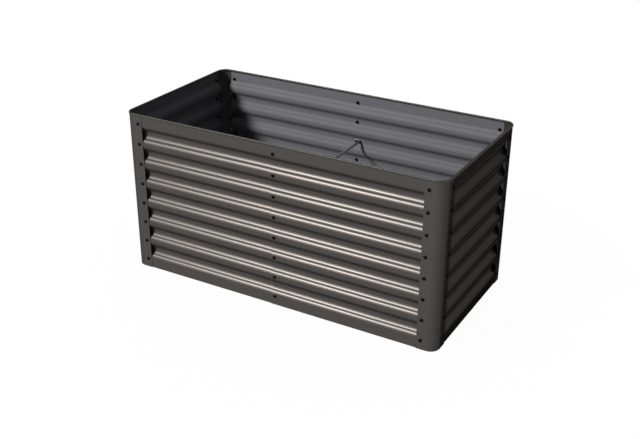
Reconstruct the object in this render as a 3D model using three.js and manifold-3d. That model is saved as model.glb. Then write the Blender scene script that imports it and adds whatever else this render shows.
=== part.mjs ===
// A raised garden bed: ribbed steel panels bolted to four rounded corner posts and tied
// across the middle, open at the top and the bottom, with an edging strip on its rim.
// Millimetres, +Z up. The origin is on the ground under the middle; the front faces -Y.

import * as THREE from 'three';
import { mergeVertices } from 'three/addons/utils/BufferGeometryUtils.js';
import Module from 'manifold-3d';

const wasm = await Module();
wasm.setup();

// ---- Driving dimensions ----

const LENGTH = 1220;          // along X, over the outer faces of the posts
const WIDTH = 600;            // along Y, over the outer faces of the posts
const HEIGHT = 600;           // of the posts and the panels
const SEAT = 0.3;             // gap left between two pieces that are bolted together

const POST_SHEET = 1.0;       // thickness of a post's steel
const CORNER_RADIUS = 36;     // of a post's outer face
const CURVE_TO_BOLTS = 19;    // from the end of the curve to the column of bolts
const BOLTS_TO_EDGE = 15;     // from a column of bolts to the edge of the sheet

const PANEL_SHEET = 0.8;      // thickness of a panel's steel
const PITCH = 76;             // from one groove to the next, and from bolt to bolt
const LEAST_BAND = 30;        // flat band that stays above and below the bolts, at least
const GROOVE_DEPTH = 16;
const LAND = 8.5;             // flat between two grooves, where the bolts go through
const GROOVE_FLOOR = 5.5;     // flat at the bottom of a groove
const SIDE_STRAIGHT = 3.7;    // straight of a groove's side, between its two bends
const FOOT = 8;               // flange turned in along a panel's lower edge
const FOOT_BEND = 2;          // outer radius of that fold

const BOLT_DIAMETER = 6;
const HOLE_CLEARANCE = 0.5;   // all round a bolt in a panel's hole
const HEAD_DIAMETER = 12.5;
const HEAD_HEIGHT = 3.3;
const DOME_DIAMETER = 8;      // of the head where its dome turns flat
const DOME_DROP = 0.7;        // from the top of the dome down to there
const NUT_FLATS = 10;         // across the flats
const NUT_HEIGHT = 5;
const BOLT_TAIL = 1.5;        // what a seam bolt shows past its nut, over a tie strap

const TIE_SHEET = 2;          // thickness of a tie strap
const TIE_HEIGHT = 12;
const TIE_BEND = 4;           // outer radius of the strap's bends
const TIE_OFFSET = 14;        // from the bolts to the outer face of the strap's long run
const TIE_ROW = 2;            // bolt rows between a strap and the nearer end of the column

const EDGING_WALL = 1.2;      // thickness of the edging strip's two walls
const EDGING_CROWN = 2;       // thickness of its crown over the sheet's edge
const EDGING_GRIP = 4.5;      // how far it reaches down the sheet
const EDGING_JOINT = 1;       // between the strip's two ends, at the middle of the back

const BEND_STEPS = 2;         // facets in one bend of a panel
const CORNER_STEPS = 7;       // facets in a post's curve
const STRAP_STEPS = 3;        // facets in a bend of a tie strap
const CROWN_STEPS = 5;        // facets across the edging strip's crown
const HEAD_SIDES = 8;
const SHANK_SIDES = 6;        // of shanks, and of the holes and bores round them

// ---- Sizes that follow ----

const GROOVES = Math.floor((HEIGHT - 2 * LEAST_BAND) / PITCH);
const BAND = (HEIGHT - GROOVES * PITCH) / 2;
const ROWS = Array.from({ length: GROOVES + 1 }, (_, row) => BAND + row * PITCH);

const BOLT_INSET = CORNER_RADIUS + CURVE_TO_BOLTS;
const FLANGE = BOLT_INSET + BOLTS_TO_EDGE;
const PANEL_INSET = BOLT_INSET - BOLTS_TO_EDGE;
const PANEL_FACE = POST_SHEET + SEAT;
const SHANK_RADIUS = BOLT_DIAMETER / 2;
const NUT_RADIUS = NUT_FLATS / Math.sqrt(3);

// The radius over the corners of a hole whose flats clear a bolt by that much.
const holeRadius = (clearance) => (SHANK_RADIUS + clearance) / Math.cos(Math.PI / SHANK_SIDES);

// A groove's side is two equal bends joined by a straight: the bends' radius and the angle.
const SIDE_RISE = (PITCH - LAND - GROOVE_FLOOR) / 2;
const BEND = (SIDE_RISE ** 2 + GROOVE_DEPTH ** 2 - SIDE_STRAIGHT ** 2) / (4 * GROOVE_DEPTH);
const SIDE_ANGLE = Math.atan2(GROOVE_DEPTH - 2 * BEND, SIDE_RISE) + Math.atan2(2 * BEND, SIDE_STRAIGHT);

// At the middle of a long side one panel laps inside the other, and the ribs nest.
// The inner panel springs inwards along its length until its steep sides clear.
const LAP = 2 * BOLTS_TO_EDGE;
const LAP_SHIFT = (PANEL_SHEET + SEAT) / Math.cos(SIDE_ANGLE);
const HALF_PANEL = LENGTH / 2 - PANEL_INSET + LAP / 2;
const SPRING = LAP_SHIFT / (HALF_PANEL - LAP);
const lapDepth = (x) => PANEL_FACE + SPRING * (x + LENGTH / 2 - PANEL_INSET);

// Behind a land, a nut or a tab is taller than the flat and rests on the bends beside it.
const onBends = (height) => Math.max(0, height - LAND) / 2 * Math.tan(SIDE_ANGLE / (2 * BEND_STEPS));

// Depths below the posts' outer face, at a bolt.
const CORNER_NUT = PANEL_FACE + PANEL_SHEET + SEAT + onBends(NUT_FLATS);
const SEAM_BACK = lapDepth(0) + PANEL_SHEET + SEAT;
const SEAM_NUT = SEAM_BACK + onBends(NUT_FLATS);
const TIE_FACE = SEAM_BACK + onBends(TIE_HEIGHT);
const TIE_NUT = TIE_FACE + TIE_SHEET + SEAT;
const SEAM_HEAD = PANEL_FACE - SEAT;

// ---- Materials ----

const paint = () => new THREE.MeshStandardMaterial({ color: 0x55514a, roughness: 0.4, metalness: 0.5 });
const blackSteel = () => new THREE.MeshStandardMaterial({ color: 0x1d1b1a, roughness: 0.5, metalness: 0.6 });
const zinc = () => new THREE.MeshStandardMaterial({ color: 0x9a9c9b, roughness: 0.4, metalness: 0.9 });
const rubber = () => new THREE.MeshStandardMaterial({ color: 0x1b1b1b, roughness: 0.7, metalness: 0 });

// ---- Solids: joining and cutting ----

function toSolid(geometry) {
  const bare = geometry.index ? geometry.toNonIndexed() : geometry.clone();
  bare.deleteAttribute('normal');
  bare.deleteAttribute('uv');
  const merged = mergeVertices(bare, 1e-4);
  const corners = merged.index.array;
  const kept = [];
  for (let i = 0; i < corners.length; i += 3) {
    const [a, b, c] = [corners[i], corners[i + 1], corners[i + 2]];
    if (a !== b && b !== c && c !== a) kept.push(a, b, c);
  }
  const vertProperties = new Float32Array(merged.attributes.position.array);
  return new wasm.Manifold(new wasm.Mesh({ numProp: 3, vertProperties, triVerts: Uint32Array.from(kept) }));
}

function toGeometry(solid) {
  const mesh = solid.getMesh();
  const geometry = new THREE.BufferGeometry();
  geometry.setAttribute('position', new THREE.BufferAttribute(new Float32Array(mesh.vertProperties), 3));
  geometry.setIndex(new THREE.BufferAttribute(new Uint32Array(mesh.triVerts), 1));
  geometry.computeVertexNormals();
  return geometry;
}

// Bolt holes along Y through whatever lies within half the reach of each place.
function drill(geometry, places, reach) {
  const radius = holeRadius(HOLE_CLEARANCE);
  let solid = toSolid(geometry);
  for (const [x, y, z] of places) {
    const bit = new THREE.CylinderGeometry(radius, radius, reach, SHANK_SIDES);
    solid = solid.subtract(toSolid(bit.translate(x, y, z)));
  }
  return toGeometry(solid);
}

// ---- Folded sheet ----

const run = (length) => ({ length });
const fold = (angle, radius, steps) => ({ angle, radius, steps });

// A folded sheet's section. Its outer face is a path of straight runs and folds, and the
// sheet lies on the path's right. A fold with a positive angle turns right.
function sheetSection(x, y, heading, moves, thickness) {
  const at = new THREE.Vector2(x, y);
  const outer = [];
  const inner = [];
  const right = () => new THREE.Vector2(Math.sin(heading), -Math.cos(heading));
  const mark = () => {
    outer.push(at.clone());
    inner.unshift(at.clone().addScaledVector(right(), thickness));
  };
  mark();
  for (const move of moves) {
    if (move.length !== undefined) {
      at.add(new THREE.Vector2(Math.cos(heading), Math.sin(heading)).multiplyScalar(move.length));
      mark();
      continue;
    }
    const arm = Math.sign(move.angle) * move.radius;
    const centre = at.clone().addScaledVector(right(), arm);
    for (let step = 0; step < move.steps; step += 1) {
      heading -= move.angle / move.steps;
      at.copy(centre).addScaledVector(right(), -arm);
      mark();
    }
  }
  return new THREE.Shape([...outer, ...inner]);
}

const extrude = (shape, depth) => new THREE.ExtrudeGeometry(shape, { depth, bevelEnabled: false });

// ---- Panels ----

const RIGHT_ANGLE = Math.PI / 2;

// The section runs up from the foot: X of the shape is depth into the bed, Y is height.
function panelSection() {
  const bend = (way) => fold(way * SIDE_ANGLE, BEND, BEND_STEPS);
  const side = run(SIDE_STRAIGHT);
  const toGroove = BAND + LAND / 2;
  const toBand = fold(RIGHT_ANGLE, FOOT_BEND, BEND_STEPS);
  const moves = [run(FOOT - FOOT_BEND), toBand, run(toGroove - FOOT_BEND)];
  for (let groove = 1; groove <= GROOVES; groove += 1) {
    const next = groove < GROOVES ? LAND : toGroove;
    moves.push(bend(1), side, bend(-1), run(GROOVE_FLOOR), bend(-1), side, bend(1), run(next));
  }
  return sheetSection(FOOT, 0, Math.PI, moves, PANEL_SHEET);
}

// A panel of the front wall, from x = start, with a column of holes at each x of columns.
// spring moves it inwards by that much for each millimetre along it.
function panelGeometry(start, length, wall, columns, spring = 0) {
  const alongX = new THREE.Matrix4().makeBasis(
    new THREE.Vector3(0, 1, 0), new THREE.Vector3(0, 0, 1), new THREE.Vector3(1, 0, 0));
  const springs = new THREE.Matrix4().makeShear(spring, 0, 0, 0, 0, 0);
  const blank = extrude(panelSection(), length).applyMatrix4(alongX).applyMatrix4(springs);
  blank.translate(start, PANEL_FACE - wall, 0);
  const places = columns.flatMap((x) => ROWS.map((z) => [x, -wall, z]));
  return drill(blank, places, 2 * GROOVE_DEPTH);
}

// The notch keeps the inner panel's foot clear of the outer one's where they lap.
function innerPanelGeometry() {
  const blank = panelGeometry(-LENGTH / 2 + PANEL_INSET, HALF_PANEL, WIDTH / 2,
    [BOLT_INSET - LENGTH / 2, 0], SPRING);
  const notchLength = LAP + SEAT;
  const notchHeight = FOOT_BEND + PANEL_SHEET + SEAT;
  const notch = new THREE.BoxGeometry(2 * notchLength, 4 * FOOT, 2 * notchHeight);
  notch.translate(LAP / 2, -WIDTH / 2, 0);
  return toGeometry(toSolid(blank).subtract(toSolid(notch)));
}

function outerPanelGeometry() {
  return panelGeometry(-LAP / 2, HALF_PANEL, WIDTH / 2, [0, LENGTH / 2 - BOLT_INSET]);
}

function endPanelGeometry() {
  const length = WIDTH - 2 * PANEL_INSET;
  return panelGeometry(-length / 2, length, LENGTH / 2, [BOLT_INSET - WIDTH / 2, WIDTH / 2 - BOLT_INSET]);
}

// ---- Bolts and nuts, with the bolt's axis along +Y and its seat at y = 0 ----

// A domed head and its shank. root is how far the head reaches below its seat, where it is
// part of the sheet there.
function boltSolid(length, root = 0) {
  const radius = HEAD_DIAMETER / 2;
  const shoulder = [DOME_DIAMETER / 2, DOME_DROP - HEAD_HEIGHT];
  const dome = [[0, -HEAD_HEIGHT], shoulder, [radius, root], [0, root]];
  const head = new THREE.LatheGeometry(dome.map(([r, y]) => new THREE.Vector2(r, y)), HEAD_SIDES);
  const buried = HEAD_HEIGHT / 2;
  const shank = new THREE.CylinderGeometry(SHANK_RADIUS, SHANK_RADIUS, length + buried, SHANK_SIDES);
  shank.translate(0, (length - buried) / 2, 0);
  return toSolid(head).add(toSolid(shank));
}

function nutGeometry() {
  const hexagon = (radius) => Array.from({ length: 6 }, (_, i) => {
    const angle = i * Math.PI / 3;
    return new THREE.Vector2(radius * Math.cos(angle), radius * Math.sin(angle));
  });
  const section = new THREE.Shape(hexagon(NUT_RADIUS));
  section.holes.push(new THREE.Path(hexagon(holeRadius(SEAT))));
  return extrude(section, NUT_HEIGHT).rotateX(RIGHT_ANGLE).translate(0, NUT_HEIGHT, 0);
}

// A corner bolt is made with its post, as one solid: its nut keeps clear of the panel.
function cornerBolt() {
  const nut = new THREE.CylinderGeometry(NUT_RADIUS, NUT_RADIUS, NUT_HEIGHT, 6);
  nut.rotateY(RIGHT_ANGLE / 3).translate(0, CORNER_NUT + NUT_HEIGHT / 2, 0);
  return toGeometry(boltSolid(CORNER_NUT + NUT_HEIGHT / 2, POST_SHEET / 2).add(toSolid(nut)));
}

// ---- Corner posts ----

// The front right post, with its sharp corner at the origin: one flange along -X, one along +Y.
function postGeometry() {
  const flat = run(FLANGE - CORNER_RADIUS);
  const moves = [flat, fold(RIGHT_ANGLE, CORNER_RADIUS, CORNER_STEPS), flat];
  const section = sheetSection(0, FLANGE, -RIGHT_ANGLE, moves, POST_SHEET);
  let solid = toSolid(extrude(section, HEIGHT));
  for (const z of ROWS) {
    const front = cornerBolt().translate(-BOLT_INSET, 0, z);
    const end = cornerBolt().rotateZ(RIGHT_ANGLE).translate(0, BOLT_INSET, z);
    solid = solid.add(toSolid(front)).add(toSolid(end));
  }
  return toGeometry(solid);
}

// ---- Tie straps ----

// A strap from the front seam to the back one: a long run with a tab at each end, seen from
// above, whose tabs lie on the seams under the nuts.
function tieGeometry() {
  const reach = WIDTH / 2 - TIE_FACE;
  const tab = TIE_OFFSET + BOLTS_TO_EDGE / 2;
  const corner = fold(RIGHT_ANGLE, TIE_BEND, STRAP_STEPS);
  const moves = [run(tab - TIE_BEND), corner, run(2 * reach - 2 * TIE_BEND), corner, run(tab - TIE_BEND)];
  const section = sheetSection(TIE_OFFSET - tab, reach, 0, moves, TIE_SHEET);
  const blank = extrude(section, TIE_HEIGHT).translate(0, 0, -TIE_HEIGHT / 2);
  return drill(blank, [[0, 0, 0]], WIDTH);
}

// ---- Edging strip ----

// Places along the rim, from the middle of the back round to it again, anticlockwise from
// above, each with the direction that points out of the bed.
function rimStations() {
  const x = LENGTH / 2 - CORNER_RADIUS;
  const y = WIDTH / 2 - CORNER_RADIUS;
  const back = new THREE.Vector2(0, 1);
  const stations = [{ at: new THREE.Vector2(-EDGING_JOINT / 2, WIDTH / 2), out: back }];
  for (const [side, centre] of [[-x, y], [-x, -y], [x, -y], [x, y]].entries()) {
    for (let step = 0; step <= CORNER_STEPS; step += 1) {
      const angle = RIGHT_ANGLE * (1 + side + step / CORNER_STEPS);
      const out = new THREE.Vector2(Math.cos(angle), Math.sin(angle));
      stations.push({ at: new THREE.Vector2(...centre).addScaledVector(out, CORNER_RADIUS), out });
    }
  }
  stations.push({ at: new THREE.Vector2(EDGING_JOINT / 2, WIDTH / 2), out: back });
  return stations;
}

// The strip's section, anticlockwise: X is out of the bed from the posts' outer face, Y is up.
function edgingOutline() {
  const out = SEAT + EDGING_WALL;
  const inside = -(lapDepth(LAP / 2) + PANEL_SHEET + SEAT + EDGING_WALL);
  const foot = HEIGHT - EDGING_GRIP;
  const roof = HEIGHT + SEAT;
  const crown = Array.from({ length: CROWN_STEPS + 1 }, (_, i) => {
    const angle = Math.PI * i / CROWN_STEPS;
    return new THREE.Vector2((out + inside) / 2 + (out - inside) / 2 * Math.cos(angle),
      roof + EDGING_CROWN * Math.sin(angle));
  });
  const slot = [[inside, foot], [inside + EDGING_WALL, foot], [inside + EDGING_WALL, roof],
    [out - EDGING_WALL, roof], [out - EDGING_WALL, foot], [out, foot]];
  return [...crown, ...slot.map(([x, y]) => new THREE.Vector2(x, y))];
}

function edgingGeometry() {
  const outline = edgingOutline();
  const stations = rimStations();
  const count = outline.length;
  const positions = stations.flatMap(({ at, out }) => outline.flatMap((point) => {
    const place = at.clone().addScaledVector(out, point.x);
    return [place.x, place.y, point.y];
  }));
  const faces = [];
  for (let ring = 0; ring < stations.length - 1; ring += 1) {
    for (let i = 0; i < count; i += 1) {
      const [a, b] = [ring * count + i, ring * count + (i + 1) % count];
      faces.push(a, a + count, b + count, a, b + count, b);
    }
  }
  const last = (stations.length - 1) * count;
  for (const [a, b, c] of THREE.ShapeUtils.triangulateShape(outline, [])) {
    faces.push(a, b, c, last + a, last + c, last + b);
  }
  const geometry = new THREE.BufferGeometry();
  geometry.setAttribute('position', new THREE.Float32BufferAttribute(positions, 3));
  geometry.setIndex(faces);
  geometry.computeVertexNormals();
  return geometry;
}

// ---- Assembly ----

const bed = new THREE.Group();

function place(name, geometry, material, position = [0, 0, 0], turn = 0) {
  const mesh = new THREE.Mesh(geometry, material);
  mesh.name = name;
  mesh.position.set(...position);
  mesh.rotation.z = turn;
  bed.add(mesh);
}

// The back wall is the front wall turned half round, so its outer half is the left one.
const outerPanel = outerPanelGeometry();
const innerPanel = innerPanelGeometry();
place('front_panel_right', outerPanel, paint());
place('front_panel_left', innerPanel, paint());
place('back_panel_left', outerPanel, paint(), [0, 0, 0], Math.PI);
place('back_panel_right', innerPanel, paint(), [0, 0, 0], Math.PI);

const endPanel = endPanelGeometry();
place('end_panel_right', endPanel, paint(), [0, 0, 0], RIGHT_ANGLE);
place('end_panel_left', endPanel, paint(), [0, 0, 0], -RIGHT_ANGLE);

const post = postGeometry();
place('corner_post_front_right', post, paint(), [LENGTH / 2, -WIDTH / 2, 0]);
place('corner_post_back_right', post, paint(), [LENGTH / 2, WIDTH / 2, 0], RIGHT_ANGLE);
place('corner_post_back_left', post, paint(), [-LENGTH / 2, WIDTH / 2, 0], Math.PI);
place('corner_post_front_left', post, paint(), [-LENGTH / 2, -WIDTH / 2, 0], -RIGHT_ANGLE);

const tieRows = [TIE_ROW, ROWS.length - 1 - TIE_ROW];
const tie = tieGeometry();
place('tie_strap_lower', tie, zinc(), [0, 0, ROWS[tieRows[0]]]);
place('tie_strap_upper', tie, zinc(), [0, 0, ROWS[tieRows[1]]]);

const seamBolt = toGeometry(boltSolid(TIE_NUT + NUT_HEIGHT + BOLT_TAIL - SEAM_HEAD));
const seamNut = nutGeometry();
for (const [side, front, turn] of [['front', -1, 0], ['back', 1, Math.PI]]) {
  for (const [row, z] of ROWS.entries()) {
    const nutDepth = tieRows.includes(row) ? TIE_NUT : SEAM_NUT;
    const at = (depth) => [0, front * (WIDTH / 2 - depth), z];
    place(`seam_bolt_${side}_${row + 1}`, seamBolt, blackSteel(), at(SEAM_HEAD), turn);
    place(`seam_nut_${side}_${row + 1}`, seamNut, blackSteel(), at(nutDepth), turn);
  }
}

place('edging_strip', edgingGeometry(), rubber());

export default bed;
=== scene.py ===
# %% [markdown]
# # A ribbed steel garden bed
#
# The real bed comes flat in a box: six ribbed steel panels, four corner posts, two tie
# straps, a bag of black bolts and a length of rubber edging. The packed model already
# holds every piece at its real size and place, with coarse facets for its bends.
#
# Here each piece is made again with smooth bends and a real finish, in the same place.
# Everything is in metres, +Z is up, and the front of the bed faces -Y.

# %% The packed model
import math

import bmesh
import bpy
from mathutils import Matrix, Vector


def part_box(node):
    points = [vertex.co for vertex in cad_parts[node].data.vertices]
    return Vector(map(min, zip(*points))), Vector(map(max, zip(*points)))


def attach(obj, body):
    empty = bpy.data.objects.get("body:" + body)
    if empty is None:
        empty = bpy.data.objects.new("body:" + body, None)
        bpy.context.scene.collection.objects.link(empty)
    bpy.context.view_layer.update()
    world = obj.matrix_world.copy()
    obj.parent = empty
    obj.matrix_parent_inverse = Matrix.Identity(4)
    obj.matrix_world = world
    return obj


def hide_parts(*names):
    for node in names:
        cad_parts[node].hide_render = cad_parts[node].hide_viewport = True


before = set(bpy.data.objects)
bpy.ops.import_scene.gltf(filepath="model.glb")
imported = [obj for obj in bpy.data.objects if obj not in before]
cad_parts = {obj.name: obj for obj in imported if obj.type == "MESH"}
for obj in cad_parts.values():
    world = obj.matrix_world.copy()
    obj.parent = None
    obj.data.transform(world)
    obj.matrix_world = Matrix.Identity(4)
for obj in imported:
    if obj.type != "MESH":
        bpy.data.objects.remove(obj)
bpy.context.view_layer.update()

# %% [markdown]
# ## Sizes
#
# A few sizes drive everything: the sheets' thickness, the pitch of the ribs and the radius
# of each bend. They are what a maker would order or set on a machine, so each is written
# once and by itself.

# %% Driving sizes
MM = 0.001
SEAT = 0.3 * MM             # gap between two pieces that are bolted together
POST_SHEET = 1.0 * MM
PANEL_SHEET = 0.8 * MM

PITCH = 76 * MM             # from one rib to the next
GROOVES = 7
GROOVE_DEPTH = 16 * MM
LAND = 8.5 * MM             # flat between two grooves, where the bolts sit
GROOVE_FLOOR = 5.5 * MM     # flat at the bottom of a groove
SIDE_STRAIGHT = 3.7 * MM    # straight part of a groove's side, between its two bends
FOOT = 8 * MM
FOOT_BEND = 2 * MM

CORNER_RADIUS = 36 * MM
BOLT_INSET = 55 * MM        # from the bed's corner to a column of bolts
BOLTS_TO_EDGE = 15 * MM     # from a column of bolts to the edge of the sheet
RIGHT_ANGLE = math.radians(90)
print("rib pitch:", PITCH, "groove depth:", GROOVE_DEPTH, "corner radius:", CORNER_RADIUS)

# %% [markdown]
# The overall size isn't typed in again. It is read off the packed panels, and the posts lie
# on them with the thin gap that bolted pieces keep. The ribs take up a whole number of
# pitches. What is left of the height is shared by a flat band at the top and one at the
# bottom, and a bolt sits in the middle of each land.

# %% Sizes of the whole bed
front_low, front_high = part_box("front_panel_right")
end_low, end_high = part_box("end_panel_right")
PANEL_FACE = POST_SHEET + SEAT          # from the posts' outer face in to the panels'
HALF_LENGTH = end_high.x + PANEL_FACE
HALF_WIDTH = PANEL_FACE - front_low.y
HEIGHT = front_high.z
BAND = (HEIGHT - GROOVES * PITCH) / 2
BOLT_ROWS = [BAND + row * PITCH for row in range(GROOVES + 1)]
FLANGE = BOLT_INSET + BOLTS_TO_EDGE     # from a post's sharp corner to its edge
print("bed:", 2 * HALF_LENGTH, "x", 2 * HALF_WIDTH, "x", HEIGHT, "bolt rows:", BOLT_ROWS)

# %% [markdown]
# ## The camera
#
# The picture is taken from the front right, from above the bed, with a lens a little longer
# than normal. A camera could be placed by eye. This one was found by matching the bolts'
# centres and the outline, so its numbers aren't round.
#
# A camera looks along its own -Z. Read from the right, the matrices roll it about that
# axis, tip it up from looking straight down, turn it round the vertical and move it.

# %% Camera
CAMERA_AT = Vector((1.5854, -2.7745, 1.7563))
CAMERA_AZIMUTH = math.radians(29.60)
CAMERA_ELEVATION = math.radians(25.88)
CAMERA_ROLL = math.radians(0.39)
LENS = 54.80                # in millimetres, as is the sensor
SENSOR_WIDTH = 36

camera_data = bpy.data.cameras.new("camera")
camera_data.lens = LENS
camera_data.sensor_width = SENSOR_WIDTH
camera = bpy.data.objects.new("camera", camera_data)
tip = Matrix.Rotation(RIGHT_ANGLE - CAMERA_ELEVATION, 4, "X")
turn = Matrix.Rotation(CAMERA_AZIMUTH, 4, "Z")
roll = Matrix.Rotation(CAMERA_ROLL, 4, "Z")
camera.matrix_world = Matrix.Translation(CAMERA_AT) @ turn @ tip @ roll
bpy.context.scene.collection.objects.link(camera)
bpy.context.scene.camera = camera
print("camera at", list(CAMERA_AT))

# %% [markdown]
# ## Shader maths as plain expressions
#
# A finish is a graph of nodes. Wiring every Math node by hand hides what the graph says, so
# a small class wraps a socket, and `+`, `-` and `*` on it add the Math nodes. `1 - mask`
# works too, through the reflected forms: Python asks the mask when the 1 doesn't know.

# %% Sockets that do sums
class Value:
    """What varies over a surface: the output of some node."""

    def __init__(self, graph, socket):
        self.graph = graph
        self.socket = socket

    def maths(self, operation, first, second):
        """A Math node on two numbers, either of which may be plain."""
        return self.graph.node("Math", {"operation": operation}, {0: first, 1: second})

    def __add__(self, other):
        return self.maths("ADD", self, other)

    def __sub__(self, other):
        return self.maths("SUBTRACT", self, other)

    def __rsub__(self, other):
        return self.maths("SUBTRACT", other, self)

    def __mul__(self, other):
        return self.maths("MULTIPLY", self, other)

    __radd__ = __add__
    __rmul__ = __mul__


print("a Value can be added, subtracted and multiplied")

# %% [markdown]
# Any other node comes from `Graph.node`. It takes the node's type, then its settings, then
# what goes into its sockets, and last the output that is wanted. A socket goes by its name,
# or by its number where several share one name.

# %% Graphs, node by node
class Graph:
    """The graph of a material or of the world."""

    def __init__(self, owner):
        owner.use_nodes = True
        self.owner = owner
        self.tree = owner.node_tree
        self.tree.nodes.clear()

    def node(self, kind, settings=None, sockets=None, output=0):
        """Add a node, set it up, then fill its sockets. Returns one of its outputs, if any."""
        node = self.tree.nodes.new("ShaderNode" + kind)
        for name, setting in (settings or {}).items():
            setattr(node, name, setting)
        for name, value in (sockets or {}).items():
            self.fill(self.find(node.inputs, name), value)
        return Value(self, self.find(node.outputs, output)) if node.outputs else None

    def find(self, sockets, name):
        """A socket by its name, or by its place among those that the settings leave in use."""
        in_use = [socket for socket in sockets if socket.enabled]
        if isinstance(name, int):
            return in_use[name]
        return next(socket for socket in in_use if socket.name == name)

    def fill(self, socket, value):
        """Link a socket to another node's output, or set it to a plain value."""
        if isinstance(value, Value):
            self.tree.links.new(value.socket, socket)
        else:
            socket.default_value = value


print("a node's sockets are found by name or by number")

# %% [markdown]
# Most finishes need the same few nodes: the place of each point on the piece, noise there,
# a blend of two colours, dents, and the Principled shader that brings them together. They
# are methods of a graph that belongs to a material.

# %% Finishes
class Finish(Graph):
    """A material, with the nodes that most finishes need."""

    def __init__(self, name):
        super().__init__(bpy.data.materials.new(name))

    def place(self):
        """Where each point of the piece is, in metres."""
        return self.node("TexCoord", output="Object")

    def noise(self, place, waves, detail):
        """Smooth random cloud, about 0.5 on average, with this many waves to a metre."""
        sockets = {"Vector": place, "Scale": waves, "Detail": detail}
        return self.node("TexNoise", {}, sockets, "Fac")

    def blend(self, share, first, second):
        """A colour between two colours."""
        return self.node("Mix", {"data_type": "RGBA"}, {"Factor": share, "A": first, "B": second})

    def bump(self, height, depth, normal=None):
        """Dents in the surface: height from 0 to 1 stands for this depth in metres."""
        sockets = {"Height": height, "Distance": depth}
        if normal is not None:
            sockets["Normal"] = normal
        return self.node("Bump", {}, sockets)

    def surface(self, sockets):
        """The finished surface, from what goes into the Principled shader."""
        shader = self.node("BsdfPrincipled", {}, sockets)
        self.node("OutputMaterial", {}, {"Surface": shader})
        return self.owner


print("a Finish offers:", [name for name in vars(Finish) if not name.startswith("_")])

# %% [markdown]
# ## Powder coat
#
# Panels and posts are powder coated after they are formed. The powder melts into a skin
# about 0.1 mm thick with a fine orange-peel texture. Its colour and its gloss drift a
# little from place to place. Thin sheet isn't quite flat either, which a very shallow, wide
# bump shows in the long highlights. A picture of paint could be wrapped round each piece,
# but noise in real metres needs no unwrapping and has one scale on every piece.
#
# A metallic pigment makes the coat partly a metal, so its sheen is tinted. It has no clear
# layer on top, which would turn white at a shallow angle. It gets darker there instead, and
# the edge tint says by how much: on a metal, Specular Tint is what the surface sends back
# at the shallowest angles.

# %% A powder coat
DRIFT_WAVES = 7
ROUGHNESS_DRIFT = 0.04
PEEL_WAVES = 700
PEEL_DEPTH = 0.002 * MM
WAVINESS_WAVES = 5
WAVINESS_DEPTH = 0.3 * MM
NOISE_AVERAGE = 0.5


def powder_coat(name, warm, cool, metal, roughness, edge_tint):
    """A coat whose colour drifts between two near shades."""
    finish = Finish(name)
    place = finish.place()
    drift = finish.noise(place, DRIFT_WAVES, detail=3)
    peel = finish.noise(place, PEEL_WAVES, detail=1)
    waviness = finish.noise(place, WAVINESS_WAVES, detail=0)
    return finish.surface({
        "Base Color": finish.blend(drift, warm, cool),
        "Metallic": metal,
        "Roughness": roughness + ROUGHNESS_DRIFT * (drift - NOISE_AVERAGE),
        "Specular IOR Level": 0.0,
        "Specular Tint": edge_tint,
        "Normal": finish.bump(peel, PEEL_DEPTH, finish.bump(waviness, WAVINESS_DEPTH)),
    })


print("powder coat has", PEEL_WAVES, "waves of orange peel to a metre")

# %% [markdown]
# The side that shows is a satin, dark bronze-grey on panels and posts alike. The hidden
# sides get less. The panels' backs have a matt coat of a cooler grey, as coil-coated sheet
# has. Inside the posts a near-black matt coat is painted shade: it stands for the shade
# there, so that the pockets seen past the panels' ends stay dark. All of them are one
# function with other numbers.

# %% The coats
COAT_WARM = (0.0585, 0.0524, 0.0485, 1)
COAT_COOL = (0.0555, 0.0518, 0.0480, 1)
COAT_METAL = 0.6
COAT_ROUGHNESS = 0.35
COAT_EDGE_TINT = (0.29, 0.29, 0.29, 1)
BACK_WARM = (0.0860, 0.0850, 0.0930, 1)
BACK_COOL = (0.0900, 0.0920, 0.1010, 1)
BACK_METAL = 0.2
BACK_ROUGHNESS = 0.66
BACK_EDGE_TINT = (0.45, 0.45, 0.45, 1)
# painted shade: the posts' insides are made near black to stand for the shade in them
SHADED_INNER_WARM = (0.0340, 0.0315, 0.0300, 1)
SHADED_INNER_COOL = (0.0340, 0.0325, 0.0315, 1)
DARK_EDGE_TINT = (0, 0, 0, 1)

satin = (COAT_WARM, COAT_COOL, COAT_METAL, COAT_ROUGHNESS, COAT_EDGE_TINT)
panel_coat = powder_coat("panel_powder_coat", *satin)
post_coat = powder_coat("post_powder_coat", *satin)
back_coat = powder_coat(
    "grey_back_coat", BACK_WARM, BACK_COOL, BACK_METAL, BACK_ROUGHNESS, BACK_EDGE_TINT)
inner_painted_shade = powder_coat(
    "post_inner_painted_shade", SHADED_INNER_WARM, SHADED_INNER_COOL, COAT_METAL, BACK_ROUGHNESS, DARK_EDGE_TINT)
print("coats:", panel_coat.name, post_coat.name, back_coat.name, inner_painted_shade.name)

# %% [markdown]
# ## Blackened steel
#
# The bolts and nuts are blackened: the skin is an oxide with almost no colour and a soft
# sheen, and handling wears it paler in small patches. Glossy black paint would be simpler,
# but it turns white at shallow angles, and then pale rims appear round the small heads. A
# very dark metal with a black edge tint stays black all the way round.

# %% Blackened steel
BLACK_STEEL = (0.005, 0.005, 0.005, 1)
BLACK_WORN = (0.009, 0.0085, 0.008, 1)
BLACK_ROUGHNESS = 0.42
WORN_IS_ROUGHER_BY = 0.12
WEAR_WAVES = 260
OXIDE_WAVES = 1500
OXIDE_DEPTH = 0.01 * MM


def black_steel(name):
    """Dark oxide with worn patches and a fine grain."""
    finish = Finish(name)
    place = finish.place()
    wear = finish.noise(place, WEAR_WAVES, detail=3)
    grain = finish.noise(place, OXIDE_WAVES, detail=1)
    return finish.surface({
        "Base Color": finish.blend(wear, BLACK_STEEL, BLACK_WORN),
        "Metallic": 1.0,
        "Roughness": BLACK_ROUGHNESS + WORN_IS_ROUGHER_BY * wear,
        "Specular Tint": DARK_EDGE_TINT,
        "Normal": finish.bump(grain, OXIDE_DEPTH),
    })


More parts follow.
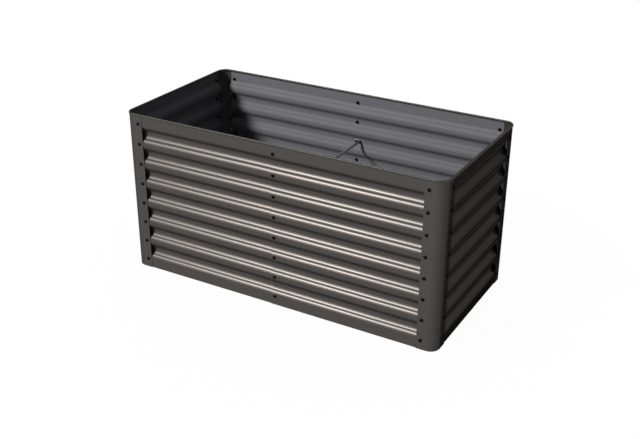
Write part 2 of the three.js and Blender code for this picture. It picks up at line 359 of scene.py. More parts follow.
fastener_black = black_steel("blackened_steel")
print("finish of the bolts and nuts:", fastener_black.name)

# %% [markdown]
# ## Zinc
#
# The tie straps are coated with zinc, which sets in a faint patchwork of grains, each with
# its own brightness. Noise alone would blur them together. A Voronoi texture divides the
# surface into cells and gives each a random colour, and one channel of that colour is a
# number for the whole grain.

# %% Zinc
ZINC_DULL = (0.40, 0.41, 0.42, 1)
ZINC_BRIGHT = (0.62, 0.63, 0.64, 1)
ZINC_METAL = 0.9
ZINC_ROUGHNESS = 0.32
BRIGHT_IS_ROUGHER_BY = 0.16
GRAINS_TO_A_METRE = 130
ZINC_SKIN_WAVES = 900
ZINC_SKIN_DEPTH = 0.01 * MM


def zinc_plate(name):
    """Zinc in a patchwork of bright and dull grains."""
    finish = Finish(name)
    place = finish.place()
    cells = {"Vector": place, "Scale": GRAINS_TO_A_METRE}
    colours = finish.node("TexVoronoi", {}, cells, "Color")
    grain = finish.node("SeparateColor", {}, {"Color": colours}, "Red")
    skin = finish.noise(place, ZINC_SKIN_WAVES, detail=2)
    return finish.surface({
        "Base Color": finish.blend(grain, ZINC_DULL, ZINC_BRIGHT),
        "Metallic": ZINC_METAL,
        "Roughness": ZINC_ROUGHNESS + BRIGHT_IS_ROUGHER_BY * grain,
        "Normal": finish.bump(skin, ZINC_SKIN_DEPTH),
    })


strap_zinc = zinc_plate("zinc_plate")
print("finish of the tie straps:", strap_zinc.name)

# %% [markdown]
# ## Rubber
#
# The edging is a soft black rubber with a satin skin and a little dust. Light runs along its
# crown as one thin line, so it has no bump, which would break that line into dots. Like the
# bolts, it is written as a very dark metal, because the rim is seen at a shallow angle
# nearly everywhere and a clear reflection would turn it white.

# %% Rubber
RUBBER = (0.047, 0.046, 0.043, 1)
RUBBER_DUSTY = (0.057, 0.056, 0.052, 1)
RUBBER_EDGE_TINT = (0.50, 0.50, 0.50, 1)
RUBBER_ROUGHNESS = 0.36
DUST_IS_ROUGHER_BY = 0.08
DUST_WAVES = 60


def soft_rubber(name):
    """Satin rubber, a little paler and duller where dust lies."""
    finish = Finish(name)
    dust = finish.noise(finish.place(), DUST_WAVES, detail=4)
    return finish.surface({
        "Base Color": finish.blend(dust, RUBBER, RUBBER_DUSTY),
        "Metallic": 1.0,
        "Roughness": RUBBER_ROUGHNESS + DUST_IS_ROUGHER_BY * dust,
        "Specular Tint": RUBBER_EDGE_TINT,
    })


edging_rubber = soft_rubber("satin_rubber")
print("finish of the edging:", edging_rubber.name)

# %% [markdown]
# ## Working sheet metal
#
# A press brake makes a sheet part from a flat strip and a list of fold lines. The part
# could be modelled face by face, but then each bend is a sum to do by hand. So this works
# as the brake does. A bare line goes through the fold points, and it is swept sideways
# into a sheet with sharp creases.

# %% From a line to a sheet
def line_through(points):
    """A bmesh with one open line through a few points."""
    bm = bmesh.new()
    corners = [bm.verts.new(point) for point in points]
    for start, end in zip(corners, corners[1:]):
        bm.edges.new((start, end))
    return bm


def made(result, kind, key="geom"):
    """The new vertices, edges or faces in what an operator gives back."""
    return [item for item in result[key] if isinstance(item, kind)]


def sweep(bm, edges, along):
    """Draw edges out along a vector. Returns the edges at the far end."""
    swept = bmesh.ops.extrude_edge_only(bm, edges=edges)
    bmesh.ops.translate(bm, verts=made(swept, bmesh.types.BMVert), vec=along)
    return made(swept, bmesh.types.BMEdge)


print("a sheet is a line that is swept sideways")

# %% [markdown]
# A bevel rounds each crease to its bend radius. It moves its edges by a set distance: for a
# fold of angle a and radius r, the bend starts r * tan(a / 2) from the crease.

# %% Folding and turning a sheet
NEAR = 0.1 * MM             # two places closer than this count as one


def creases(bm):
    """The edges of a bare sheet that have a face on both sides."""
    return [edge for edge in bm.edges if len(edge.link_faces) == 2]


def round_folds(bm, folds, radius, angle, steps):
    """Turn sharp creases into bends of this radius."""
    bmesh.ops.bevel(
        bm, geom=folds, offset=radius * math.tan(angle / 2), offset_type="OFFSET",
        segments=steps, profile=0.5, affect="EDGES", clamp_overlap=False, material=-1)


def rotate(bm, angle, axis):
    """Turn a whole bmesh about an axis through the origin."""
    matrix = Matrix.Rotation(angle, 3, axis)
    bmesh.ops.rotate(bm, verts=bm.verts, cent=Vector(), matrix=matrix)


print("places within", NEAR / MM, "mm of each other count as one")

# %% [markdown]
# Once it is folded, the sheet gets its thickness, behind its faces. They are turned to the
# outside first. The faces that thickening adds at the back can have a finish of their own.
# Cut edges are painted too, and paint can't follow a sharp edge, so a small bevel rounds
# them.

# %% Thickness and cut edges
FRONT_FINISH = 0
BACK_FINISH = 1
SHARP_FROM = math.radians(60)
PAINTED_EDGE = 0.15 * MM
PAINTED_EDGE_STEPS = 2


def face_towards(bm, outside):
    """Turn an open sheet's faces so that they look towards a direction, taken together."""
    bmesh.ops.recalc_face_normals(bm, faces=bm.faces)
    lean = sum(face.normal.dot(outside) * face.calc_area() for face in bm.faces)
    if lean < 0:
        bmesh.ops.reverse_faces(bm, faces=bm.faces)


def thicken(bm, sheet, back_finish):
    """Give the sheet its thickness behind its faces, and a finish to its back."""
    outer = set(bm.faces)
    bmesh.ops.solidify(bm, geom=bm.faces[:], thickness=sheet)
    rim = {face for edge in bm.edges for face in edge.link_faces
           if face not in outer and any(other in outer for other in edge.link_faces)}
    for face in bm.faces:
        if face not in outer and face not in rim:
            face.material_index = back_finish


def soften_edges(bm):
    """Round the cut edges as paint does."""
    cut = [edge for edge in bm.edges if edge.calc_face_angle(0) > SHARP_FROM]
    bmesh.ops.bevel(
        bm, geom=cut, offset=PAINTED_EDGE, offset_type="OFFSET", segments=PAINTED_EDGE_STEPS,
        profile=0.5, affect="EDGES", clamp_overlap=True, material=-1)


print("painted edges are rounded by", PAINTED_EDGE / MM, "mm")

# %% [markdown]
# Every piece ends the same way. It is shaded smooth across its bends and sharp across its
# cut edges, and a Weighted Normal modifier lets the large faces rule the shading, so that
# flats look flat right up to their bends. Then the piece is tied to the packed model: it
# rides on the one body, and the node that it stands for is hidden.

# %% Finishing a piece
SMOOTH_UP_TO = math.radians(20)


def finish_piece(bm, name, slot, node, *finishes):
    """Turn a bmesh into the piece of the bed that stands for a node of the packed model."""
    for face in bm.faces:
        face.smooth = True
    for edge in bm.edges:
        edge.smooth = edge.calc_face_angle(0) < SMOOTH_UP_TO
    mesh = bpy.data.meshes.new(name)
    bm.to_mesh(mesh)
    bm.free()
    for finish in finishes:
        mesh.materials.append(finish)
    piece = bpy.data.objects.new(name, mesh)
    bpy.context.scene.collection.objects.link(piece)
    even = piece.modifiers.new("even_shading", "WEIGHTED_NORMAL")
    even.keep_sharp = True
    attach(piece, "root")
    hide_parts(node)
    return piece


print("pieces are smooth up to", round(math.degrees(SMOOTH_UP_TO)), "degrees")

# %% [markdown]
# ## The ribbed panels
#
# Each panel is rolled sheet: a flat band, seven grooves with narrow flat lands between
# them, and a flat band again. Along its lower edge a narrow foot is turned inwards. The
# section could be drawn once as a long list of points. All its fold points follow from the
# pitch and the depth, though, so it is a loop over the grooves.
#
# The bends aren't a free choice. Two equal ones and the straight between them have to fit
# between a land and the groove's floor. From one bend's centre to the other's it is
# side_rise up and GROOVE_DEPTH - 2 * radius across the sheet. Seen along the straight, the
# same distance is SIDE_STRAIGHT one way and 2 * radius the other. That fixes the radius and
# the angle.

# %% The section of a panel
RIB_STEPS = 12
FOOT_STEPS = 6

side_rise = (PITCH - LAND - GROOVE_FLOOR) / 2
RIB_BEND = (side_rise ** 2 + GROOVE_DEPTH ** 2 - SIDE_STRAIGHT ** 2) / (4 * GROOVE_DEPTH)
lean_of_centres = math.atan2(GROOVE_DEPTH - 2 * RIB_BEND, side_rise)
SIDE_ANGLE = lean_of_centres + math.atan2(2 * RIB_BEND, SIDE_STRAIGHT)
CREASE_TO_BEND = RIB_BEND * math.tan(SIDE_ANGLE / 2)


def panel_folds():
    """The fold points of a panel as (depth into the bed, height), from the foot up."""
    to_mouth = (PITCH - LAND) / 2 - CREASE_TO_BEND
    to_floor = GROOVE_FLOOR / 2 + CREASE_TO_BEND
    folds = [(FOOT, 0), (0, 0)]
    for groove in range(GROOVES):
        middle = BAND + PITCH * (groove + 0.5)
        folds += [(0, middle - to_mouth), (GROOVE_DEPTH, middle - to_floor)]
        folds += [(GROOVE_DEPTH, middle + to_floor), (0, middle + to_mouth)]
    return folds + [(0, HEIGHT)]


print("bend radius:", round(RIB_BEND / MM, 2), "side angle:", round(math.degrees(SIDE_ANGLE), 1))

# %% [markdown]
# Every panel is made as if it belonged to the front wall, and the finished sheet is then
# turned to its own wall: half round for the back, a quarter round for the ends. That way
# one function serves all six. The ribs and the foot have bends of their own radius, so
# they are rounded one after the other.

# %% Making a panel
def ribbed_sheet(start, length, wall):
    """A ribbed sheet of the front wall from x = start, whose posts' face is at y = -wall."""
    bm = line_through([(start, PANEL_FACE - wall + depth, up) for depth, up in panel_folds()])
    sweep(bm, bm.edges[:], Vector((length, 0, 0)))
    ribs = [edge for edge in creases(bm) if edge.verts[0].co.z > FOOT_BEND]
    round_folds(bm, ribs, RIB_BEND, SIDE_ANGLE, RIB_STEPS)
    foot = [edge for edge in creases(bm) if max(corner.co.z for corner in edge.verts) < NEAR]
    round_folds(bm, foot, FOOT_BEND, RIGHT_ANGLE, FOOT_STEPS)
    face_towards(bm, Vector((0, -1, 0)))
    return bm


def finish_panel(bm, node, quarter_turns):
    """Thicken a sheet, turn it to its wall and let it stand for its node."""
    thicken(bm, PANEL_SHEET, BACK_FINISH)
    soften_edges(bm)
    rotate(bm, quarter_turns * RIGHT_ANGLE, "Z")
    piece = finish_piece(bm, node + "_sheet", "panel_paint", node, panel_coat, back_coat)
    print(piece.name, "faces:", len(piece.data.polygons))


print("fold points in a panel:", len(panel_folds()))

# %% [markdown]
# ### Panels that lap
#
# A long side is two panels that lap at the middle, under one column of bolts. The outer
# one is plain. The inner one has to nest inside it, so along its length it springs inwards
# by the little that its steep sides need to clear, and its foot is notched at the lap.
#
# The spring could be a bend of the whole sheet. It is under 2 mm in half a metre, so a
# shear does it. Two cuts and a deletion make the notch, all on the bare sheet.

# %% Two kinds of long panel
LAP = 2 * BOLTS_TO_EDGE
HALF_PANEL = front_high.x - front_low.x
PANEL_INSET = HALF_LENGTH - front_high.x
SPRING = (PANEL_SHEET + SEAT) / math.cos(SIDE_ANGLE) / (HALF_PANEL - LAP)


def outer_panel():
    """The panel that laps outside, on the right of the front wall."""
    return ribbed_sheet(front_low.x, HALF_PANEL, HALF_WIDTH)


def inner_panel():
    """The panel that laps inside: sprung inwards, with its foot notched at the lap."""
    start = PANEL_INSET - HALF_LENGTH
    bm = ribbed_sheet(start, HALF_PANEL, HALF_WIDTH)
    shear = Matrix.Identity(4)      # each metre along x adds SPRING to y
    shear[1][0] = SPRING
    shear[1][3] = -SPRING * start
    bmesh.ops.transform(bm, matrix=shear, verts=bm.verts)
    notch_from = start + HALF_PANEL - LAP - SEAT
    notch_to = FOOT_BEND + PANEL_SHEET + SEAT
    cuts = ((Vector((notch_from, 0, 0)), Vector((1, 0, 0))),
            (Vector((0, 0, notch_to)), Vector((0, 0, 1))))
    for place, across in cuts:
        everything = bm.verts[:] + bm.edges[:] + bm.faces[:]
        bmesh.ops.bisect_plane(bm, geom=everything, plane_co=place, plane_no=across)
    centres = [(face, face.calc_center_median()) for face in bm.faces]
    notch = [face for face, centre in centres if centre.x > notch_from and centre.z < notch_to]
    bmesh.ops.delete(bm, geom=notch, context="FACES")
    return bm


print("the inner panels spring in by", round(SPRING * HALF_PANEL / MM, 2), "mm")

# %% [markdown]
# The back wall is the front wall turned half round, so its outer panel is on the left as
# seen from the front.

# %% The four long panels
finish_panel(outer_panel(), "front_panel_right", 0)
finish_panel(inner_panel(), "front_panel_left", 0)
finish_panel(outer_panel(), "back_panel_left", 2)
finish_panel(inner_panel(), "back_panel_right", 2)

# %% [markdown]
# ### Panels at the ends
#
# An end is one plain panel with the same section. It is made about the middle of the front
# wall, as far from the origin as the end wall is, and turned a quarter round.

# %% The two end panels
END_PANEL = end_high.y - end_low.y
for side, quarter_turns in (("right", 1), ("left", -1)):
    end_sheet = ribbed_sheet(-END_PANEL / 2, END_PANEL, HALF_LENGTH)
    finish_panel(end_sheet, f"end_panel_{side}", quarter_turns)

# %% [markdown]
# ## Corner posts
#
# A post is one smooth sheet folded once over a wide round former. Three points give its
# plan: the edge of one flange, the corner, and the edge of the other. A quarter of a pipe
# with two plates would look the same, but it would have seams where the real sheet has
# none. The post is made with its sharp corner at the origin, then turned and moved to each
# corner of the bed.

# %% Corner posts
CORNER_STEPS = 24
CORNERS = {                 # the place of each corner, and its quarter turns
    "front_right": (Vector((HALF_LENGTH, -HALF_WIDTH, 0)), 0),
    "back_right": (Vector((HALF_LENGTH, HALF_WIDTH, 0)), 1),
    "back_left": (Vector((-HALF_LENGTH, HALF_WIDTH, 0)), 2),
    "front_left": (Vector((-HALF_LENGTH, -HALF_WIDTH, 0)), 3),
}


def to_corner(bm, corner):
    """Turn and move what was made for the front right corner to another corner."""
    at, quarter_turns = CORNERS[corner]
    rotate(bm, quarter_turns * RIGHT_ANGLE, "Z")
    bmesh.ops.translate(bm, verts=bm.verts, vec=at)


for corner in CORNERS:
    bm = line_through([(-FLANGE, 0, 0), (0, 0, 0), (0, FLANGE, 0)])
    sweep(bm, bm.edges[:], Vector((0, 0, HEIGHT)))
    round_folds(bm, creases(bm), CORNER_RADIUS, RIGHT_ANGLE, CORNER_STEPS)
    face_towards(bm, Vector((1, -1, 0)))
    thicken(bm, POST_SHEET, BACK_FINISH)
    soften_edges(bm)
    to_corner(bm, corner)
    node = "corner_post_" + corner
    # the inside of the post takes the painted shade
    piece = finish_piece(bm, node + "_sheet", "post_paint", node, post_coat, inner_painted_shade)
    print(piece.name, "faces:", len(piece.data.polygons))

# %% [markdown]
# ## Bolts
#
# The bolts are M6 with low domed heads and a hexagon socket. A bolt could be spun from its
# outline, but its socket has six sides and its body twenty, and the two have to meet. So
# rings of edges are drawn out of one another instead, from the flat round the socket over
# the dome. Each ring is a scaled and raised copy of the last.

# %% The head of a bolt
HEAD_RADIUS = 6.25 * MM
HEAD_HEIGHT = 3.3 * MM
HEAD_RIM = 0.7 * MM         # height at which the dome meets the head's rim
HEAD_FLAT = 2.9 * MM        # radius of the flat round the socket
DOME_STEPS = 5


def draw_ring(bm, edges, radius_scale, rise):
    """Draw a ring of edges out, larger or smaller and higher or lower."""
    drawn = bmesh.ops.extrude_edge_only(bm, edges=edges)
    corners = made(drawn, bmesh.types.BMVert)
    bmesh.ops.scale(bm, verts=corners, vec=Vector((radius_scale, radius_scale, 1)))
    bmesh.ops.translate(bm, verts=corners, vec=Vector((0, 0, rise)))
    return made(drawn, bmesh.types.BMEdge)


def dome_profile():
    """The rings of the head from the flat on top to the rim, as (radius, height)."""
    rings = []
    for step in range(DOME_STEPS + 1):
        angle = RIGHT_ANGLE * step / DOME_STEPS
        radius = HEAD_FLAT + (HEAD_RADIUS - HEAD_FLAT) * math.sin(angle)
        height = HEAD_RIM + (HEAD_HEIGHT - HEAD_RIM) * math.cos(angle)
        rings.append((radius, height))
    return rings


print("rings in a dome:", len(dome_profile()))

# %% [markdown]
# The bolt is made upright with its seat at z = 0 and its head above. The socket is a
# hexagon drawn up from its bottom, and a bridge joins its six top edges to the ring round
# it. From there the rings go over the dome, down to the seat, in to the shank and along it.
# The bolt is then laid down, so that it goes in along +Y as on the front wall.

# %% A bolt
HEXAGON_SIDES = 6
SOCKET_RADIUS = 2.3 * MM
SOCKET_DEPTH = 1.7 * MM
SHANK_RADIUS = 3 * MM
TIP_CHAMFER = 0.6 * MM
BOLT_SIDES = 20
SAMPLE_LENGTH = 10 * MM


def bolt(length):
    """One bolt with its head towards -Y, its seat at y = 0 and this length behind it."""
    bm = bmesh.new()
    bottom = Matrix.Translation((0, 0, HEAD_HEIGHT - SOCKET_DEPTH))
    bmesh.ops.create_circle(
        bm, cap_ends=True, radius=SOCKET_RADIUS, segments=HEXAGON_SIDES, matrix=bottom)
    socket_rim = sweep(bm, bm.edges[:], Vector((0, 0, SOCKET_DEPTH)))
    top = Matrix.Translation((0, 0, HEAD_HEIGHT))
    circle = bmesh.ops.create_circle(bm, radius=HEAD_FLAT, segments=BOLT_SIDES, matrix=top)
    ring = [edge for edge in bm.edges if edge.verts[0] in circle["verts"]]
    bmesh.ops.bridge_loops(bm, edges=ring + socket_rim)
    rings = dome_profile()
    rings += [(HEAD_RADIUS, 0), (SHANK_RADIUS, 0), (SHANK_RADIUS, TIP_CHAMFER - length)]
    rings += [(SHANK_RADIUS - TIP_CHAMFER, -length)]
    for (radius, height), (next_radius, next_height) in zip(rings, rings[1:]):
        ring = draw_ring(bm, ring, next_radius / radius, next_height - height)
    bmesh.ops.contextual_create(bm, geom=ring)
    bmesh.ops.recalc_face_normals(bm, faces=bm.faces)
    rotate(bm, RIGHT_ANGLE, "X")
    return bm


sample = bolt(SAMPLE_LENGTH)
print("faces in a bolt:", len(sample.faces))
sample.free()

# %% [markdown]
# ## Nuts
#
# A nut is a hexagon with its corners turned down at both ends. Cutting a cone off each end
# would give the real curved facets, which are too small to see here, so a bevel of the two
# end faces' edges stands for them. The bolt fills the bore, so the bore is only a shallow
# chamfer round the thread, made with two insets. The corners of a hexagon lie as far from
# its middle as its width over the flats, divided by the square root of three.

# %% A nut
NUT_FLATS = 10 * MM         # width over two opposite sides
NUT_CORNERS = NUT_FLATS / math.sqrt(3)
NUT_HEIGHT = 5 * MM
NUT_CHAMFER = 0.5 * MM
BORE_CHAMFER = 0.6 * MM
NUT_INSET = NUT_FLATS / 2 - SHANK_RADIUS - BORE_CHAMFER


def nut():
    """One nut whose bolt runs along +Y, with its near face at y = 0."""
    bm = bmesh.new()
    bmesh.ops.create_circle(bm, cap_ends=True, radius=NUT_CORNERS, segments=HEXAGON_SIDES)
    far_rim = sweep(bm, bm.edges[:], Vector((0, 0, NUT_HEIGHT)))
    bmesh.ops.contextual_create(bm, geom=far_rim)
    bmesh.ops.recalc_face_normals(bm, faces=bm.faces)
    caps = [face for face in bm.faces if len(face.verts) == HEXAGON_SIDES]
    rims = [edge for edge in bm.edges if any(face in caps for face in edge.link_faces)]
    bmesh.ops.bevel(
        bm, geom=rims, offset=NUT_CHAMFER, offset_type="OFFSET",
        segments=1, profile=0.5, affect="EDGES", clamp_overlap=True, material=-1)
    caps = [face for face in bm.faces if len(face.verts) == HEXAGON_SIDES]
    bmesh.ops.inset_region(bm, faces=caps, thickness=NUT_INSET, depth=0)
    bmesh.ops.inset_region(bm, faces=caps, thickness=BORE_CHAMFER, depth=-BORE_CHAMFER)
    rotate(bm, math.pi / HEXAGON_SIDES, "Z")
    rotate(bm, -RIGHT_ANGLE, "X")
    return bm


sample = nut()
print("faces in a nut:", len(sample.faces))
sample.free()

# %% [markdown]
# ### Bolts and nuts in the corners
#
# Each post has a column of eight bolts in both flanges, and a nut behind the panel on every
# one. Linked copies would be lighter, but a piece has to be one mesh with its place in it.
# So each copy is moved to its row and joined to the others, and the whole set is turned to
# its corner as the post was.
#
# A nut is a little wider than a land, so it stands off by what the bends beside the land
# need. In the packed model a bend is two facets, and the nut lies on the first one.

# %% Corner bolts and nuts
BOLT_TAIL = 1.5 * MM        # what sticks out of the nut
PACKED_FACETS = 2
ON_BENDS = (NUT_FLATS - LAND) / 2 * math.tan(SIDE_ANGLE / (2 * PACKED_FACETS))
CORNER_NUT = PANEL_FACE + PANEL_SHEET + SEAT + ON_BENDS


def corner_bolt():
    """A bolt long enough for post, panel and nut."""
    return bolt(CORNER_NUT + NUT_HEIGHT + BOLT_TAIL)


def two_columns(make_one, depth):
    """Copies for the front right post: a column in each flange, this far behind its face."""
    bm = bmesh.new()
    columns = ((0, Vector((-BOLT_INSET, depth, 0))), (1, Vector((-depth, BOLT_INSET, 0))))
    for quarter_turns, foot in columns:
        for row in BOLT_ROWS:
            one = make_one()
            rotate(one, quarter_turns * RIGHT_ANGLE, "Z")
            bmesh.ops.translate(one, verts=one.verts, vec=foot + Vector((0, 0, row)))
            spare = bpy.data.meshes.new("spare")
            one.to_mesh(spare)
            one.free()
            bm.from_mesh(spare)
            bpy.data.meshes.remove(spare)
    return bm


for corner in CORNERS:
    node = "corner_post_" + corner
    for kind, make_one, depth in (("bolts", corner_bolt, 0), ("nuts", nut, CORNER_NUT)):
        bm = two_columns(make_one, depth)
        to_corner(bm, corner)
        finish_piece(bm, f"corner_{kind}_{corner}", "fastener_black", node, fastener_black)
    print("fastened", node)

# %% [markdown]
# ### Bolts and nuts at the seams
#
# The bolts at the middle of a long side are separate nodes of the packed model, so each new
# one takes its place from its node's box. The box runs from the top of the head to the tip,
# or over the two faces of the nut. On the back wall everything is turned half round.

# %% Seam bolts and nuts
for side, quarter_turns, inwards in (("front", 0, 1), ("back", 2, -1)):
    outermost = min if side == "front" else max
    for row in range(1, len(BOLT_ROWS) + 1):
        bolt_low, bolt_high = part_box(f"seam_bolt_{side}_{row}")
        nut_low, nut_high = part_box(f"seam_nut_{side}_{row}")
        shank = bolt_high.y - bolt_low.y - HEAD_HEIGHT
        bolt_seat = outermost(bolt_low.y, bolt_high.y) + inwards * HEAD_HEIGHT
        nut_seat = outermost(nut_low.y, nut_high.y)
        up = (bolt_low.z + bolt_high.z) / 2
        for kind, bm, seat in (("bolt", bolt(shank), bolt_seat), ("nut", nut(), nut_seat)):
            rotate(bm, quarter_turns * RIGHT_ANGLE, "Z")
            bmesh.ops.translate(bm, verts=bm.verts, vec=Vector((0, seat, up)))
            node = f"seam_{kind}_{side}_{row}"
            finish_piece(bm, node + "_turned", "fastener_black", node, fastener_black)
    print("fastened the", side, "seam")

# %% [markdown]
# ## Tie straps
#
# What the bed holds pushes its long sides apart, so two flat straps run across it from seam
# to seam. A strap is bar 12 mm high and 2 mm thick, with a tab turned at each end that lies
# on the seam under a nut. It is folded sheet like the posts, so four points give its plan.
# A bevel of the tabs' free corners rounds them, before the bar gets its thickness.

# %% Tie straps
TIE_SHEET = 2 * MM
TIE_BEND = 4 * MM
TIE_BEND_STEPS = 6
TAB_ROUNDING = 4 * MM
TAB_STEPS = 5

for level in ("lower", "upper"):
    node = "tie_strap_" + level
    low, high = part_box(node)
    plan = [(low.x, high.y), (high.x, high.y), (high.x, low.y), (low.x, low.y)]
    bm = line_through([(x, y, low.z) for x, y in plan])
    sweep(bm, bm.edges[:], Vector((0, 0, high.z - low.z)))
    round_folds(bm, creases(bm), TIE_BEND, RIGHT_ANGLE, TIE_BEND_STEPS)
    tab_corners = [corner for corner in bm.verts if corner.co.x - low.x < NEAR]
    bmesh.ops.bevel(
        bm, geom=tab_corners, offset=TAB_ROUNDING, offset_type="OFFSET", segments=TAB_STEPS,
        profile=0.5, affect="VERTICES", clamp_overlap=True, material=-1)
    face_towards(bm, Vector((1, 0, 0)))
    thicken(bm, TIE_SHEET, FRONT_FINISH)
    soften_edges(bm)
    piece = finish_piece(bm, node + "_bar", "strap_zinc", node, strap_zinc)
    print(piece.name, "faces:", len(piece.data.polygons))

# %% [markdown]
# ## Edging strip
#
# Cut steel is sharp, so a rubber strip is pushed over the whole rim. Its section is a U
# whose crown is half an ellipse. Points at equal steps along the ellipse would leave a
# sharp fold at its narrow ends, right where the rim's highlight runs. So they lie where the
# crown has turned by equal angles. The strip is as wide inside as the deepest sheet on the
# rim needs, which is the lap of the inner panels.

# %% The section of the edging
EDGING_WALL = 1.2 * MM
CROWN_POINTS = 12
edging_low, edging_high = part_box("edging_strip")
EDGING_OUT = edging_high.x - HALF_LENGTH
EDGING_CROWN = edging_high.z - HEIGHT - SEAT
INNER_LAP_DEPTH = PANEL_FACE + SPRING * HALF_PANEL
EDGING_IN = INNER_LAP_DEPTH + PANEL_SHEET + SEAT + EDGING_WALL


def edging_section():
    """The strip's section as (out of the bed, height), from the outer end of the crown."""
    middle = (EDGING_OUT - EDGING_IN) / 2
    half = (EDGING_OUT + EDGING_IN) / 2
    roof = HEIGHT + SEAT
    grip = edging_low.z
    section = []
    for step in range(CROWN_POINTS + 1):
        facing = math.pi * step / CROWN_POINTS
        angle = math.atan2(EDGING_CROWN * math.sin(facing), half * math.cos(facing))
        section.append((middle + half * math.cos(angle), roof + EDGING_CROWN * math.sin(angle)))
    inner_side = EDGING_WALL - EDGING_IN
    outer_side = EDGING_OUT - EDGING_WALL
    section += [(-EDGING_IN, grip), (inner_side, grip), (inner_side, roof)]
    section += [(outer_side, roof), (outer_side, grip), (EDGING_OUT, grip)]
    return section


print("points in the edging's section:", len(edging_section()))

# %% [markdown]
# The real strip starts at the middle of the back, runs round all four corners and ends a
# millimetre short of where it began. A curve with a bevel object could follow the rim too.
# Sweeping and spinning the section keeps every number exact: straight along a side, then a
# quarter turn about the corner's centre, four times over.

# %% Edging strip
EDGING_JOINT = 1 * MM
EDGING_CORNER_STEPS = 16
along_x = HALF_LENGTH - CORNER_RADIUS
along_y = HALF_WIDTH - CORNER_RADIUS
first_run = along_x - EDGING_JOINT / 2
RUNS = (                    # how far straight, then the centre of the turn after it
    (Vector((-first_run, 0, 0)), Vector((-along_x, along_y, 0))),
    (Vector((0, -2 * along_y, 0)), Vector((-along_x, -along_y, 0))),
    (Vector((2 * along_x, 0, 0)), Vector((along_x, -along_y, 0))),
    (Vector((0, 2 * along_y, 0)), Vector((along_x, along_y, 0))),
)

bm = line_through([(-EDGING_JOINT / 2, HALF_WIDTH + out, up) for out, up in edging_section()])
bm.verts.ensure_lookup_table()
bm.edges.new((bm.verts[-1], bm.verts[0]))
bmesh.ops.contextual_create(bm, geom=bm.edges[:])
end = bm.edges[:]
for straight, centre in RUNS:
    spun = bmesh.ops.spin(
        bm, geom=sweep(bm, end, straight), cent=centre, axis=Vector((0, 0, 1)),
        angle=RIGHT_ANGLE, steps=EDGING_CORNER_STEPS, use_merge=False, use_duplicate=False)
    end = made(spun, bmesh.types.BMEdge, "geom_last")
end = sweep(bm, end, Vector((-first_run, 0, 0)))
print("strip ends at x =", min(corner.co.x for edge in end for corner in edge.verts))
bmesh.ops.holes_fill(bm, edges=bm.edges)
bmesh.ops.recalc_face_normals(bm, faces=bm.faces)
edging = finish_piece(bm, "edging_strip_round", "edging_rubber", "edging_strip", edging_rubber)
print(edging.name, "faces:", len(edging.data.polygons))

# %% [markdown]
# ## White surroundings
#
# The bed stands in front of plain white, and its satin coat mirrors that white a little. A
# white world that also lit the bed would wash out its colour. So Light Path tells the rays
# apart: the camera and reflections see white, and every other ray gets a weak, even light
# that fills the shadows.

# %% The world
WHITE = (1, 1, 1, 1)
FILL = (0.20, 0.20, 0.22, 1)


def seen_directly(graph):
    """1 for rays from the camera, from a reflection or through glass, 0 for other rays."""
    camera_ray = graph.node("LightPath", output="Is Camera Ray")
    glossy_ray = graph.node("LightPath", output="Is Glossy Ray")
    clear_ray = graph.node("LightPath", output="Is Transmission Ray")
    return camera_ray + glossy_ray + clear_ray


world = bpy.data.worlds.new("surroundings")
bpy.context.scene.world = world
sky = Graph(world)
fill = sky.node("Background", {}, {"Color": FILL, "Strength": 1.0})
white = sky.node("Background", {}, {"Color": WHITE, "Strength": 1.0})
chosen = sky.node("MixShader", {}, {0: seen_directly(sky), 1: fill, 2: white})
sky.node("OutputWorld", {}, {"Surface": chosen})
print("world:", world.name)

# %% [markdown]
# ## The floor
#
# The floor is pale and lit like the bed, but it glows white for the camera and for
# reflections, so it has no horizon. A floor that only glowed would lose the bed's shadow.
# Near the bed the white share falls a little, and the lit floor with its shadow comes
# through.

# %% Floor
FLOOR_TONE = (0.55, 0.55, 0.55, 1)
SHADOW_SHARE = 0.045
SHADOW_REACH = 1.6
FLOOR_SIZE = 60

pale_floor = Finish("pale_floor")
from_bed = pale_floor.node("VectorMath", {"operation": "LENGTH"}, {0: pale_floor.place()}, "Value")
nearness = pale_floor.node("MapRange", {"interpolation_type": "SMOOTHSTEP"}, {
    "Value": from_bed, "From Min": SHADOW_REACH, "From Max": 0.0})
lit = pale_floor.node("BsdfDiffuse", {}, {"Color": FLOOR_TONE})
glow = pale_floor.node("Emission", {}, {"Color": WHITE, "Strength": 1.0})
share = (1 - SHADOW_SHARE * nearness) * seen_directly(pale_floor)
mixed = pale_floor.node("MixShader", {}, {0: share, 1: lit, 2: glow})
pale_floor.node("OutputMaterial", {}, {"Surface": mixed})

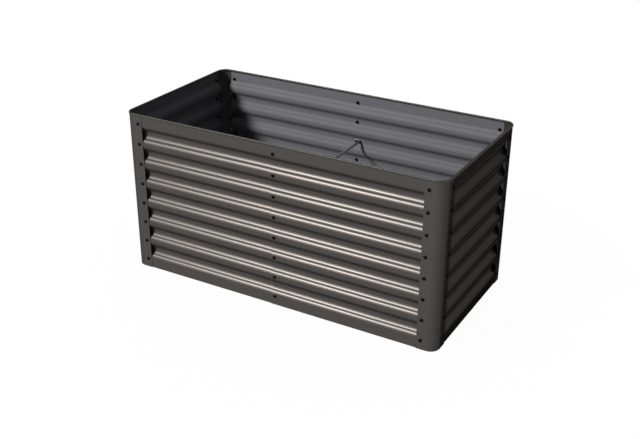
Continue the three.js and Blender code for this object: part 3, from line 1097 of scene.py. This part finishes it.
floor_bm = bmesh.new()
bmesh.ops.create_grid(floor_bm, x_segments=1, y_segments=1, size=FLOOR_SIZE / 2)
floor_mesh = bpy.data.meshes.new("floor")
floor_bm.to_mesh(floor_mesh)
floor_bm.free()
floor_mesh.materials.append(pale_floor.owner)
floor = bpy.data.objects.new("floor", floor_mesh)
bpy.context.scene.collection.objects.link(floor)
print("floor", FLOOR_SIZE, "m across")

# %% [markdown]
# ## Lamps
#
# Two soft boxes stand far off to the front left, one above the other. The upper one's
# reflection makes the two bright lines along each rib, and it leaves the right end in
# shade. The weak one below it lights the flat bands and the undersides of the ribs. A lamp
# close by would light one end of each line much more than the other, so both stand well
# away from the bed.

# %% Lamps
LAMPS_AIM = Vector((0, -HALF_WIDTH, HEIGHT / 2))
LAMPS_AWAY = 12
LAMP_WIDTH = 1.3
LAMP_HEIGHT = 2.1
LAMP_AZIMUTH = math.radians(28.2)
LAMP_TINT = (1.0, 0.99, 0.98)
KEY_ELEVATION = math.radians(33)
KEY_POWER = 2600
LOW_ELEVATION = math.radians(12)
LOW_POWER = 180


def soft_box(name, elevation, power):
    """A rectangular area lamp to the left of the front, this high and this strong."""
    lamp = bpy.data.lights.new(name, "AREA")
    lamp.shape = "RECTANGLE"
    lamp.size = LAMP_WIDTH
    lamp.size_y = LAMP_HEIGHT
    lamp.energy = power
    lamp.color = LAMP_TINT
    level = Vector((-math.sin(LAMP_AZIMUTH), -math.cos(LAMP_AZIMUTH), 0))
    from_aim = math.cos(elevation) * level + math.sin(elevation) * Vector((0, 0, 1))
    facing = (-from_aim).to_track_quat("-Z", "Y").to_matrix().to_4x4()
    box = bpy.data.objects.new(name, lamp)
    box.matrix_world = Matrix.Translation(LAMPS_AIM + LAMPS_AWAY * from_aim) @ facing
    bpy.context.scene.collection.objects.link(box)
    print(name, "at", [round(value, 2) for value in box.matrix_world.translation])


soft_box("key_light", KEY_ELEVATION, KEY_POWER)
soft_box("low_light", LOW_ELEVATION, LOW_POWER)

# %% [markdown]
# ## Finishing
#
# Standard colour management shows colours as they are written.

# %% Colour management
bpy.context.scene.view_settings.view_transform = "Standard"
